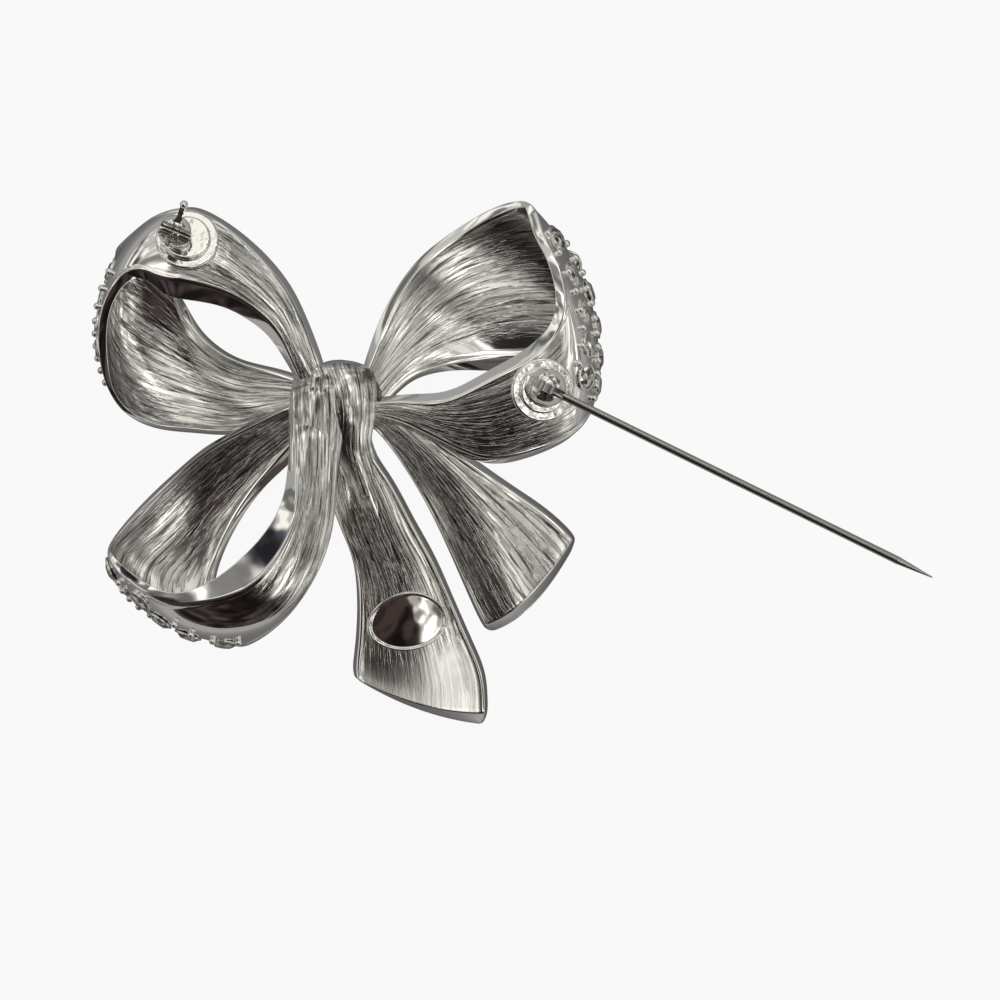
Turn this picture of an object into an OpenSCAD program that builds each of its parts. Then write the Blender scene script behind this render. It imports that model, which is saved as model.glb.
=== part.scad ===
// Ribbon bow brooch, cast in one piece, with a swinging pin stem and a ball catch.
// It lies face down: +Z points out of its back, +X along the opened pin.
// Millimetres and degrees.

/* [Bow] */
// Width across the loops
bow_w = 60; // [56:0.5:64]
// Height from the tops of the loops to the centre tail
bow_h = 60; // [56:0.5:64]
// Depth from the front of the loops to the back strips
bow_d = 12; // [11.5:0.1:12.5]
// Thickness of the loops' ribbon
ribbon_t = 1.1; // [1:0.05:1.3]
// How far a strip's edges slant out towards its front
edge_flare = 1; // [0.6:0.1:1.2]
// Thickness of the tails
tail_t = 1.4; // [1.2:0.1:1.8]
// Width of the gathered knot
knot_w = 10.6; // [9:0.2:12]
// Height of the gathered knot
knot_h = 10.4; // [9:0.2:12]
// Thickness of the oval plaque's rim
plaque_rim = 0.5; // [0.3:0.05:0.7]

/* [Stones] */
// Girdle diameter of a stone
stone_d = 3; // [2.6:0.05:3.1]
// Depth of the girdle under the metal's face
stone_sink = 0.1; // [0:0.05:0.2]
// Play between a stone and its pocket
stone_gap = 0.06; // [0.05:0.01:0.1]
// Diameter of a prong's bead
bead_d = 0.9; // [0.7:0.05:1]
// Height of a bead's middle over the metal's face
bead_rise = 0.4; // [0.2:0.05:0.5]

/* [Pin stem] */
// Diameter of the stem
stem_d = 0.96; // [0.8:0.02:1.1]
// Diameter of the stem's tapered root, where it leaves the eye
stem_root_d = 1; // [0.98:0.01:1.1]
// Length of the root
stem_root_l = 8; // [5:0.5:10]
// How far the stem reaches past the catch when it is closed
stem_over = 3.2; // [2.6:0.1:4]
// Length of the tapered point
point_l = 4.6; // [3:0.1:6]
// Diameter of the blunt tip
tip_d = 0.16; // [0.1:0.02:0.3]
// How far the opened stem lies off the closed stem's line, in degrees
open_skew = 3.4; // [0:0.1:4]

/* [Findings] */
// Diameter of a finding's round base
base_d = 7.6; // [7:0.1:8]
// Diameter of the base's upper step
step_d = 5.6; // [5.2:0.1:6]
// Thickness of each step of the base
step_t = 0.6; // [0.4:0.05:0.7]
// Least height of the pin line over its seats
pin_rise = 2.3; // [2.2:0.05:2.6]
// Diameter of the hinge's ball
hinge_ball_d = 4.8; // [4.4:0.1:5]
// Diameter of the stem's eye
eye_d = 2.2; // [2:0.1:2.4]
// Diameter of the hinge's rivet
rivet_d = 0.9; // [0.7:0.05:1]
// Diameter of the catch's ball
catch_ball_d = 4; // [3.8:0.1:4.4]
// Diameter of the lock ring
ring_d = 2.9; // [2.8:0.1:3.1]
// Width of the lock ring
ring_w = 0.6; // [0.5:0.05:0.8]
// Distance from the lock ring's centre to the lever's knob
lever_l = 3.9; // [3.6:0.1:4.4]
// Diameter of the lever's knob
knob_d = 0.98; // [0.8:0.02:1.1]
// Play of the moving parts
play = 0.12; // [0.1:0.01:0.15]

/* [Hidden] */

// Facets of the round parts: findings, knot, finding seats, stone pockets, plaque rim's length and its round
fine = 64;
knot_facets = 24;
seat_facets = 32;
pocket_facets = 16;
plaque_facets = 28;
bead_facets = 6;
tiny = 0.01;
seat_gap = 0.05;
rivet_play = 0.03;
eye_play = 0.05;
channel_play = 0.15;
ring_play = 0.08;
rivet_short = 0.3;
eye_t = 0.9;
lever_t = 0.6;
neck_d = 2.6;

// Bevel of a strip's wide side as a share of its narrow side's, and most inset as a share of the width
wide_bevel = 0.2;
most_inset = 0.22;
// Middle and half depth of the knot, in hundredths of bow_w, bow_h and bow_d
knot_at = [0.6, -0.4, 50];
knot_deep = 46;
// Boss under a finding: its share of the ribbon's thickness, its edge round the base and the cut over it
boss_share = 0.8;
boss_edge = 0.2;
level_h = 2;

// Section tables. Each row is one section across the ribbon, from its edge A over its
// middle M to its edge B, on the face that lies outside the loop. Lengths are hundredths
// of bow_w, bow_h and bow_d, from the knot's centre at the front.
// Columns: A x, y, z, M x, y, z, B x, y, z

// Upper right loop: A is the lower edge, B the edge of the hollow and then the top edge
RIGHT_LOOP = [
    [6.6, -3.6, 62, 6.2, -1.6, 71, 5.8, 0.4, 62],
    [12.6, -5.2, 75, 13, -2, 83, 13.4, 1.2, 77],
    [21, -9.6, 74, 21.4, -4.2, 90, 22.2, 1.2, 88],
    [30.4, -13.4, 72, 30.8, -4.4, 94, 30.6, 5.6, 93],
    [40, -11.6, 70, 39.6, -1.6, 97, 38, 9.6, 96],
    [47.8, -8, 63, 46.4, 1.6, 92, 43.6, 14.4, 96],
    [51, -4, 52, 50.2, 7.6, 82, 45.6, 20.6, 94],
    [52.2, 0, 37, 51.4, 13, 60, 44.2, 27.8, 88],
    [52.2, 2, 22, 51.6, 18.6, 32, 41, 34, 74],
    [50.4, 4.4, 10, 50.8, 23, 8, 39.2, 40.2, 50],
    [46, 6.2, 5, 44.8, 24, 0, 32.9, 39.8, 30],
    [38.6, 6.4, 5, 35.6, 23.6, 0, 25.6, 36, 20],
    [30.9, 6.2, 8, 25.4, 20.6, 2, 17, 29.8, 17],
    [23.2, 6.3, 17, 17.6, 15, 10, 11.2, 22, 20],
    [15.1, 4.2, 30, 12, 9, 25, 7.5, 14, 28],
    [9.4, -1.8, 42, 7, 2.6, 42, 5.2, 6.4, 42]];

// Upper left loop: A is the top edge, B the edge of the hollow and then the lower edge
LEFT_LOOP = [
    [-1, 1.6, 62, -3.4, 0.8, 71, -6, 0, 62],
    [-2.4, 8.8, 75, -6, 7.6, 85, -9, 6.4, 79],
    [-6.2, 19.4, 74, -9.6, 16.4, 91, -12.4, 12.6, 88],
    [-10.2, 26, 72, -14.2, 21.6, 94, -17, 16.4, 92],
    [-15.6, 31.8, 70, -19.6, 26, 95, -22.2, 19, 94],
    [-22.2, 36.8, 68, -25.6, 29.6, 96, -28.4, 20.2, 96],
    [-29, 39.8, 65, -32.6, 31.6, 94, -33.8, 21.2, 97],
    [-35.2, 38.2, 56, -39.2, 32, 84, -39, 25.2, 97],
    [-40, 35.2, 44, -44.2, 28, 65, -43.6, 23.2, 95],
    [-43.8, 32.4, 32, -47.2, 22, 43, -46.6, 17.6, 88],
    [-44.8, 30.8, 20, -48, 16.6, 23, -47.4, 10.8, 75],
    [-41.2, 29.6, 9, -46.2, 12, 7, -46.4, 3.6, 58],
    [-35.8, 26.4, 5, -41, 7.8, 0, -43.2, -2.2, 40],
    [-31.4, 20.6, 5, -34.4, 5, 0, -37.2, -5.5, 25],
    [-27.6, 14.2, 9, -27.4, 2.4, 3, -29, -6.4, 20],
    [-20.4, 8.8, 19, -19.4, 0.4, 13, -19.8, -6.8, 25],
    [-10.9, 6.5, 33, -10.6, 1, 32, -10.4, -3, 33],
    [-3.4, 3.6, 43, -3.8, 0.8, 46, -4.4, -2, 43]];

// Lower left loop: A is the edge of the hollow and then the left edge, B the right edge
LOWER_LOOP = [
    [-8, 5.4, 36, -0.6, 8, 40, 7, 5.6, 36],
    [-8.6, -2, 80, -3, -2, 93, 2.6, -2, 74],
    [-9, -13, 90, -3, -14, 96, 1, -14, 80],
    [-10.4, -21.4, 93, -4.2, -24.6, 95, 0.2, -25, 76],
    [-15, -28.6, 95, -7.4, -35, 94, -2.8, -33.6, 71],
    [-20.2, -33.8, 96, -13.4, -42.4, 89, -7.6, -41.4, 64],
    [-25.6, -37.8, 94, -22.6, -46.4, 76, -12, -46.4, 52],
    [-33.4, -40.2, 88, -31, -46.8, 52, -17, -49.6, 38],
    [-41.2, -36.2, 77, -37.8, -42.8, 30, -21, -49.6, 23],
    [-45.8, -31.6, 58, -41.8, -38, 12, -23.4, -46.4, 12],
    [-45.4, -27.8, 35, -40.4, -32.4, 2, -25, -40.4, 7],
    [-39.8, -20.8, 22, -34, -27, 0, -24.6, -34.2, 5],
    [-33.2, -14.5, 20, -27.8, -20, 3, -20.8, -25.6, 10],
    [-26.2, -8.7, 25, -20.4, -12.8, 15, -15.2, -17.8, 20],
    [-18, -4.6, 33, -13.4, -7.6, 30, -9.2, -12.4, 32],
    [-9, 0, 43, -6, -3, 46, -3, -6, 43]];

// Centre tail: A is its left edge, B its right edge
CENTRE_TAIL = [
    [-3.4, 0, 58, 1, -0.4, 79, 5.4, -1, 62],
    [-2, -10, 67, 3, -10, 77, 6.8, -9.4, 68],
    [-2, -18.4, 62, 5.8, -18, 72, 11.4, -16.4, 63],
    [0.4, -26, 57, 8.6, -26, 67, 15.6, -24.4, 57],
    [3, -32.4, 52, 11.6, -32.6, 62, 20, -32.2, 52],
    [4, -40.2, 46, 14.4, -40.6, 56, 23.8, -40.6, 46],
    [3.8, -48.4, 40, 15.8, -49.4, 49, 27.2, -48.2, 40],
    [3.2, -54.2, 36, 17.2, -57.6, 43, 30.4, -56, 35],
    [4, -56.4, 34, 17.2, -62.8, 40, 30.6, -65.8, 31]];

// Right tail: A is its left edge, B its right edge
RIGHT_TAIL = [
    [4, -3, 56, 6, -1.6, 68, 8, 0, 56],
    [9.2, -8, 60, 12.4, -6, 67, 15, -4, 58],
    [15, -16.2, 55, 19.6, -13.6, 63, 24.6, -10, 53],
    [20.4, -26, 48, 27, -22.4, 60, 34, -16.4, 48],
    [25, -35.6, 40, 33, -30.8, 53, 42.2, -21.6, 40],
    [29, -44.4, 32, 38, -38.4, 46, 47.8, -26.6, 32],
    [31, -47, 28, 40.2, -41.2, 42, 48.8, -28.8, 28]];

// Half of the ribbon's outline, from its edge A to its edge B on the outer face
// Columns: place across the ribbon, inset from that edge and depth, in thicknesses
HALF_OUTLINE = [
    [0, 0, 0.4], [0, 0.45, 0],
    [0.25, 0, 0], [0.5, 0, 0], [0.75, 0, 0],
    [1, 0.45, 0], [1, 0, 0.4]];

// Rows of stones and rows of prongs. Columns: place along and across the ribbon
// of the row's start, the same of its end, number in the row
RIGHT_STONES = [[5.9, 0.4, 8.5, 0.86, 5], [7, 0.13, 9.3, 0.64, 5]];
RIGHT_PRONGS = [[5.62, 0.58, 8.05, 0.96, 8], [6.16, 0.17, 8.95, 0.76, 12]];
LEFT_STONES = [[8.7, 0.34, 10.1, 0.9, 4]];
LEFT_PRONGS = [[9.5, 0.2, 11.4, 0.95, 11]];
LOWER_STONES = [[7.7, 0.2, 6.9, 0.82, 4], [9, 0.22, 8.6, 0.82, 4]];
LOWER_PRONGS = [[6.85, 0.3, 6.35, 0.8, 4], [8.3, 0.12, 7.72, 0.9, 9]];

// Place of the hinge along and across the upper right loop
hinge_u = 4.27;
hinge_v = 0.63;
// Place of the catch along and across the upper left loop
catch_u = 5.56;
catch_v = 0.46;
// How far each ball stands off the middle of its base, to the right and up
hinge_shift = [0.2, 0.4, 0];
catch_shift = [-1.4, -0.15, 0];

// A cut stone's table, middle ring and low facet, as radii, in girdle diameters
stone_table = 0.29;
stone_mid = 0.41;
stone_low = 0.24;
// Heights of its table and middle ring over the girdle and its depth under it, in girdle diameters
stone_crown = 0.17;
stone_mid_h = 0.1;
stone_depth = 0.2;

// Oval plaque on the centre tail: its length and width, its turn in degrees, its place along and across
// the tail, and the steps of both for a millimetre
plaque_l = 10.3;
plaque_w = 6.8;
plaque_turn = 20;
plaque_u = 5.43;
plaque_v = 0.48;
plaque_du = 0.19;
plaque_dv = 0.078;
// Height of the rim's middle over the tail, as a share of the rim's radius
plaque_lift = 0.3;

// In degrees: the lever's rise over the level, the start and sweep of its slice in the ball,
// and the lean of the open side of the stem's way in
lever_rise = 32;
lever_low = 14;
lever_sweep = 126;
mouth_lean = 40;

function unit(v) = v / norm(v);

// A row of a table between its own rows, on a smooth curve through them
function row_at(rows, u) =
    let(last = len(rows) - 1, i = max(0, min(floor(u), last - 1)), t = u - i,
        p0 = rows[max(i - 1, 0)], p1 = rows[i], p2 = rows[i + 1], p3 = rows[min(i + 2, last)])
    (2 * p1 + (p2 - p0) * t + (2 * p0 - 5 * p1 + 4 * p2 - p3) * t ^ 2
        + (3 * p1 - p0 - 3 * p2 + p3) * t ^ 3) / 2;

// A point across a row, on the curve through its A, M and B
function across(row, v) =
    let(a = (1 - v) * (1 - 2 * v), m = 4 * v * (1 - v), b = v * (2 * v - 1))
    [bow_w * (a * row[0] + m * row[3] + b * row[6]) / 100,
     bow_h * (a * row[1] + m * row[4] + b * row[7]) / 100,
     bow_d * (a * row[2] + m * row[5] + b * row[8]) / 100];

function face_point(rows, u, v) = across(row_at(rows, u), v);

function face_normal(rows, u, v) =
    unit(cross(face_point(rows, u + tiny, v) - face_point(rows, u - tiny, v),
               face_point(rows, u, v + tiny) - face_point(rows, u, v - tiny)));

// One point of the ribbon's outline at u. The edges slant, so that the front is the wider side.
function ribbon_point(rows, t, u, spot) =
    let(w = norm(face_point(rows, u, 1) - face_point(rows, u, 0)), n = face_normal(rows, u, 0.5),
        narrow = n.z > 0 ? 1 - spot[2] : spot[2],
        bevel = spot[1] * t * (wide_bevel + (1 - wide_bevel) * narrow),
        slant = edge_flare * abs(n.z) * narrow ^ 2,
        inset = spot[0] > 0 && spot[0] < 1 ? 0 : min(most_inset, (bevel + slant) / w),
        v = spot[0] < 0.5 ? spot[0] + inset : spot[0] - inset)
    face_point(rows, u, v) - face_normal(rows, u, v) * spot[2] * t;

function full_outline() =
    let(m = len(HALF_OUTLINE))
    concat(HALF_OUTLINE,
           [for (i = [m - 1:-1:0]) let(spot = HALF_OUTLINE[i]) [spot[0], spot[1], 1 - spot[2]]]);

function ribbon_points(rows, t, steps) =
    [for (k = [0:(len(rows) - 1) * steps], spot = full_outline()) ribbon_point(rows, t, k / steps, spot)];

module ribbon(rows, t, steps) {
    m = 2 * len(HALF_OUTLINE);
    n = (len(rows) - 1) * steps;
    sides = [for (k = [0:n - 1], j = [0:m - 1])
        let(a = k * m + j, b = k * m + (j + 1) % m) each [[a, b, b + m], [a, b + m, a + m]]];
    first_cap = [for (i = [0:m / 2 - 2])
        each [[i + 1, i, m - 1 - i], [i + 1, m - 1 - i, m - 2 - i]]];
    last_cap = [for (f = first_cap) [f[2], f[1], f[0]] + n * m * [1, 1, 1]];
    polyhedron(ribbon_points(rows, t, steps), concat(sides, first_cap, last_cap));
}

// Turns +Z to the direction n at the point p
module stand(p, n) {
    translate(p) rotate([0, acos(n.z), atan2(n.y, n.x)]) children();
}

// Seats of the findings and the line of the closed pin
hinge_seat = face_point(RIGHT_LOOP, hinge_u, hinge_v);
hinge_up = face_normal(RIGHT_LOOP, hinge_u, hinge_v);
catch_seat = face_point(LEFT_LOOP, catch_u, catch_v);
catch_up = face_normal(LEFT_LOOP, catch_u, catch_v);
pin_z = max(hinge_seat.z + pin_rise * hinge_up.z, catch_seat.z + pin_rise * catch_up.z);
hinge_rise = (pin_z - hinge_seat.z) / hinge_up.z;
catch_rise = (pin_z - catch_seat.z) / catch_up.z;
pivot = hinge_seat + hinge_rise * hinge_up + hinge_shift;
catch_at = catch_seat + catch_rise * catch_up + catch_shift;
closed_run = catch_at - pivot;
closed_angle = atan2(closed_run.y, closed_run.x);
stem_l = norm(closed_run) + stem_over;
swing_angle = closed_angle - 180 - open_skew / 2;
open_angle = swing_angle - open_skew / 2;
stem_tip = pivot + stem_l * [cos(open_angle), sin(open_angle), 0];

// Points on a ribbon and their outward directions, for all rows of a table of stones or prongs
function places(rows, settings) =
    [for (q = settings, k = [0:q[4] - 1])
        let(f = k / (q[4] - 1), u = q[0] + f * (q[2] - q[0]), v = q[1] + f * (q[3] - q[1]))
        [face_point(rows, u, v), face_normal(rows, u, v)]];

all_stones = [places(RIGHT_LOOP, RIGHT_STONES), places(LEFT_LOOP, LEFT_STONES),
              places(LOWER_LOOP, LOWER_STONES)];
all_prongs = concat(places(RIGHT_LOOP, RIGHT_PRONGS), places(LEFT_LOOP, LEFT_PRONGS),
                    places(LOWER_LOOP, LOWER_PRONGS));

// The origin: the middle of the whole brooch's box, on the surface that it lies on
skin = concat(ribbon_points(RIGHT_LOOP, ribbon_t, 3), ribbon_points(LEFT_LOOP, ribbon_t, 3),
              ribbon_points(LOWER_LOOP, ribbon_t, 3), ribbon_points(CENTRE_TAIL, tail_t, 2),
              ribbon_points(RIGHT_TAIL, tail_t, 2), [stem_tip],
              [for (q = all_prongs) q[0] + q[1] * bead_rise - [bead_d * cos(30) / 2, 0, 0]]);
low = [min([for (p = skin) p.x]), min([for (p = skin) p.y]), min([for (p = skin) p.z])];
high = [max([for (p = skin) p.x]), max([for (p = skin) p.y])];

module in_frame() {
    translate([-(low.x + high.x) / 2, -(low.y + high.y) / 2, -low.z]) children();
}

module knot() {
    translate([bow_w * knot_at.x, bow_h * knot_at.y, bow_d * knot_at.z] / 100)
        scale([knot_w / 2, knot_h / 2, bow_d * knot_deep / 100]) sphere(1, $fn = knot_facets);
}

module prong(p, n) {
    hull() {
        translate(p - n * ribbon_t / 2) sphere(d = bead_d, $fn = bead_facets);
        translate(p + n * bead_rise) sphere(d = bead_d, $fn = bead_facets);
    }
}

module pocket(p, n) {
    stand(p - n * (stone_sink + stone_depth * stone_d + stone_gap), n)
        cylinder(h = stone_d, d = stone_d + 2 * stone_gap, $fn = pocket_facets);
}

// A point of the oval plaque's outline at the angle a, and the outward direction there
function plaque_uv(a) =
    let(x = plaque_l / 2 * cos(a), y = plaque_w / 2 * sin(a))
    [plaque_u - plaque_du * (x * sin(plaque_turn) + y * cos(plaque_turn)),
     plaque_v + plaque_dv * (x * cos(plaque_turn) - y * sin(plaque_turn))];

function plaque_ring(a) =
    let(uv = plaque_uv(a), uv2 = plaque_uv(a + 1), p = face_point(CENTRE_TAIL, uv[0], uv[1]),
        n = face_normal(CENTRE_TAIL, uv[0], uv[1]),
        side = unit(cross(face_point(CENTRE_TAIL, uv2[0], uv2[1]) - p, n)))
    [for (i = [0:5]) p + plaque_rim / 2 * (n * (plaque_lift + cos(60 * i)) + side * sin(60 * i))];

module plaque() {
    last = 6 * plaque_facets;
    sides = [for (k = [0:plaque_facets - 1], i = [0:5])
        let(a = 6 * k + i, b = 6 * k + (i + 1) % 6, c = (a + 6) % last, d = (b + 6) % last)
        each [[a, c, d], [a, d, b]]];
    polyhedron([for (k = [0:plaque_facets - 1]) each plaque_ring(360 * k / plaque_facets)], sides);
}

// Flat seat of a finding: a boss in the ribbon, cut level a small gap below the finding's base
module boss(seat, up) {
    boss_t = ribbon_t * boss_share;
    stand(seat - up * (seat_gap + boss_t), up)
        cylinder(h = boss_t, d = base_d + 2 * boss_edge, $fn = seat_facets);
}

module level(seat, up) {
    stand(seat - up * seat_gap, up) cylinder(h = level_h, d = base_d + 2 * seat_gap, $fn = seat_facets);
}

module bow() {
    color("silver") in_frame() difference() {
        union() {
            ribbon(RIGHT_LOOP, ribbon_t, 3);
            ribbon(LEFT_LOOP, ribbon_t, 3);
            ribbon(LOWER_LOOP, ribbon_t, 3);
            ribbon(CENTRE_TAIL, tail_t, 2);
            ribbon(RIGHT_TAIL, tail_t, 2);
            knot();
            plaque();
            boss(hinge_seat, hinge_up);
            boss(catch_seat, catch_up);
            for (q = all_prongs) prong(q[0], q[1]);
        }
        level(hinge_seat, hinge_up);
        level(catch_seat, catch_up);
        for (loop = all_stones, q = loop) pocket(q[0], q[1]);
    }
}

// A finding's stepped round base with rounded rims and its ball on the pin line
module disc(d) {
    cylinder(h = step_t, d = d - step_t, $fn = fine);
    translate([0, 0, step_t / 2]) rotate_extrude($fn = fine)
        translate([(d - step_t) / 2, 0]) circle(d = step_t, $fn = fine);
}

module stepped_base(seat, up) {
    stand(seat, up) {
        disc(base_d);
        translate([0, 0, step_t - tiny]) disc(step_d);
    }
}

module along_x(x, h, d1, d2) {
    translate([x, 0, 0]) rotate([0, 90, 0]) cylinder(h = h, d1 = d1, d2 = d2, $fn = fine);
}

module along_y(h, d) {
    rotate([90, 0, 0]) cylinder(h = h, d = d, center = true, $fn = fine);
}

// The hinge's own directions: X to the opened stem's side, Y along the rivet
module at_hinge() {
    translate(pivot) rotate([0, 0, swing_angle]) children();
}

module hinge_housing() {
    color("silver") in_frame() difference() {
        union() {
            stepped_base(hinge_seat, hinge_up);
            translate(pivot) sphere(d = hinge_ball_d, $fn = fine);
        }
        at_hinge() {
            along_y(eye_t + 2 * play, eye_d + 2 * play);
            translate([-base_d, -eye_t / 2 - play, -stem_root_d / 2 - play])
                cube([2 * base_d, eye_t + 2 * play, base_d]);
            along_y(2 * hinge_ball_d, rivet_d + 2 * rivet_play);
        }
    }
}

module hinge_rivet() {
    color("silver") in_frame() at_hinge() along_y(hinge_ball_d - rivet_short, rivet_d);
}

module pin_stem() {
    root_in = (eye_d + rivet_d) / 4;
    color("silver") in_frame() at_hinge() difference() {
        union() {
            along_y(eye_t, eye_d);
            rotate([0, 0, -open_skew / 2]) {
                along_x(root_in, stem_root_l - root_in, stem_root_d, stem_d);
                along_x(stem_root_l - tiny, stem_l - stem_root_l - point_l + tiny, stem_d, stem_d);
                along_x(stem_l - point_l, point_l, stem_d, tip_d);
            }
        }
        along_y(2 * eye_t, rivet_d + 2 * eye_play);
    }
}

// The catch's own directions: X along the closed stem, away from the hinge, Y to the open side
module at_catch() {
    translate(catch_at) rotate([0, 0, closed_angle]) children();
}

// The way in for the stem: upright on one side, slanting out on the other
module way_in(width, l) {
    rotate([90, 0, 90]) translate([0, 0, -l / 2]) linear_extrude(l)
        polygon([[-width / 2, 0], [-width / 2, catch_ball_d],
                 [width / 2 + catch_ball_d * tan(mouth_lean), catch_ball_d], [width / 2, 0]]);
}

// The slice in which the lever turns, from its lowest to its highest place
module lever_way() {
    rotate([90, 0, 90]) translate([0, 0, -ring_w / 2 - ring_play]) linear_extrude(ring_w + 2 * ring_play)
        polygon([[0, 0], for (a = [lever_low:lever_sweep / 3:lever_low + lever_sweep + tiny])
            catch_ball_d * [-cos(a), sin(a)]]);
}

module catch_housing() {
    channel = stem_d + 2 * channel_play;
    ring_room = ring_d + 2 * ring_play;
    color("silver") in_frame() difference() {
        union() {
            stepped_base(catch_seat, catch_up);
            translate(catch_at - [0, 0, catch_ball_d / 2 + step_t])
                cylinder(h = catch_ball_d / 2, d = neck_d, $fn = fine);
            translate(catch_at) sphere(d = catch_ball_d, $fn = fine);
        }
        at_catch() {
            along_x(-base_d, 2 * base_d, channel, channel);
            along_x(-ring_w / 2 - ring_play, ring_w + 2 * ring_play, ring_room, ring_room);
            way_in(channel, 2 * base_d);
            lever_way();
        }
    }
}

// The lever points up at lever_rise and ends in a round knob
module lever() {
    ring_mid = (ring_d + stem_d + 2 * channel_play) / 4;
    rotate([-lever_rise, 0, 0]) {
        translate([-ring_w / 2, -lever_l, -lever_t / 2]) cube([ring_w, lever_l - ring_mid, lever_t]);
        translate([0, -lever_l, 0]) sphere(d = knob_d, $fn = fine);
    }
}

module catch_rotor() {
    channel = stem_d + 2 * channel_play;
    color("silver") in_frame() at_catch() {
        difference() {
            along_x(-ring_w / 2, ring_w, ring_d, ring_d);
            along_x(-ring_w, 2 * ring_w, channel, channel);
            way_in(channel, 2 * ring_w);
        }
        lever();
    }
}

// A cut stone's rings: table, crown, girdle and the flat bottom of its pavilion
function stone_ring(count, turn, radius, z) =
    [for (i = [0:count - 1]) let(a = 360 * i / count + turn)
        stone_d * [radius * cos(a), radius * sin(a), z]];

module stone(q) {
    points = concat(stone_ring(8, 0, stone_table, stone_crown), stone_ring(8, 22.5, stone_mid, stone_mid_h),
                    stone_ring(16, 0, 0.5, 0), stone_ring(8, 0, stone_low, -stone_depth));
    crown = [for (i = [0:7]) let(j = (i + 1) % 8, g = 16 + 2 * i, h = 16 + 2 * j)
        each [[i, j, 8 + i], [8 + i, j, 8 + j], [8 + i, g + 1, g], [8 + i, h, g + 1], [8 + i, 8 + j, h]]];
    pavilion = [for (i = [0:7]) let(j = (i + 1) % 8, g = 16 + 2 * i, h = 16 + 2 * j)
        each [[g, g + 1, 32 + i], [g + 1, 32 + j, 32 + i], [g + 1, h, 32 + j]]];
    color("white") in_frame() stand(q[0] - q[1] * stone_sink, q[1])
        polyhedron(points, concat([[for (i = [7:-1:0]) i], [for (i = [32:39]) i]], crown, pavilion));
}

bow();
hinge_housing();
hinge_rivet();
pin_stem();
catch_housing();
catch_rotor();
for (n = [1:10]) stone(all_stones[0][n - 1]);
for (n = [1:4]) stone(all_stones[1][n - 1]);
for (n = [1:8]) stone(all_stones[2][n - 1]);
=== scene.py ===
"""Looks of a ribbon bow brooch that lies face down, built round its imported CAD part. Metres, +Z up."""

import math

import bpy
import numpy as np
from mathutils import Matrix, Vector


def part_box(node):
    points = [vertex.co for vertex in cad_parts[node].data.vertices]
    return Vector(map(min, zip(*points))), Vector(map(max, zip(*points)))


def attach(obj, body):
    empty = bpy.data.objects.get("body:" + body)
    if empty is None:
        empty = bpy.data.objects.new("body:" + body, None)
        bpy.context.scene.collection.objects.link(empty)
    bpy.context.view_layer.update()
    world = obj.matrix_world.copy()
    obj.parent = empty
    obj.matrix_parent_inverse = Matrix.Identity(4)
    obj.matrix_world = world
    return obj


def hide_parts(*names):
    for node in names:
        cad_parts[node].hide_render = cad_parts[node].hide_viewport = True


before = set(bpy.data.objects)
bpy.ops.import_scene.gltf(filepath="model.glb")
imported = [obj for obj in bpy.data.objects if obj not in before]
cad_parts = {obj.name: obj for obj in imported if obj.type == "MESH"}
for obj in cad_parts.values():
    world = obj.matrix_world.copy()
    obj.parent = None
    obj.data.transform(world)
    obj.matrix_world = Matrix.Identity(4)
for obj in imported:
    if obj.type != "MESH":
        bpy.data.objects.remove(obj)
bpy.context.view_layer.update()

MM = 0.001

# Driving sizes of the bow, in millimetres, as in the CAD part
BOW_W = 60.0
BOW_H = 60.0
BOW_D = 12.0
RIBBON_T = 1.1
TAIL_T = 1.4
BEAD_D = 0.9
BEAD_RISE = 0.4
BEAD_FACETS = 6
STONE_D = 3.0
STONE_GAP = 0.06
KNOT_W = 10.6
KNOT_H = 10.4

# Section tables. Each row is one section across the ribbon, from its edge A over its middle M
# to its edge B, on the face outside the loop. Lengths are hundredths of BOW_W, BOW_H and BOW_D,
# from the knot's centre at the front. Columns: A x, y, z, M x, y, z, B x, y, z
RIGHT_LOOP = [
    [6.6, -3.6, 62, 6.2, -1.6, 71, 5.8, 0.4, 62],
    [12.6, -5.2, 75, 13, -2, 83, 13.4, 1.2, 77],
    [21, -9.6, 74, 21.4, -4.2, 90, 22.2, 1.2, 88],
    [30.4, -13.4, 72, 30.8, -4.4, 94, 30.6, 5.6, 93],
    [40, -11.6, 70, 39.6, -1.6, 97, 38, 9.6, 96],
    [47.8, -8, 63, 46.4, 1.6, 92, 43.6, 14.4, 96],
    [51, -4, 52, 50.2, 7.6, 82, 45.6, 20.6, 94],
    [52.2, 0, 37, 51.4, 13, 60, 44.2, 27.8, 88],
    [52.2, 2, 22, 51.6, 18.6, 32, 41, 34, 74],
    [50.4, 4.4, 10, 50.8, 23, 8, 39.2, 40.2, 50],
    [46, 6.2, 5, 44.8, 24, 0, 32.9, 39.8, 30],
    [38.6, 6.4, 5, 35.6, 23.6, 0, 25.6, 36, 20],
    [30.9, 6.2, 8, 25.4, 20.6, 2, 17, 29.8, 17],
    [23.2, 6.3, 17, 17.6, 15, 10, 11.2, 22, 20],
    [15.1, 4.2, 30, 12, 9, 25, 7.5, 14, 28],
    [9.4, -1.8, 42, 7, 2.6, 42, 5.2, 6.4, 42],
]
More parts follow.
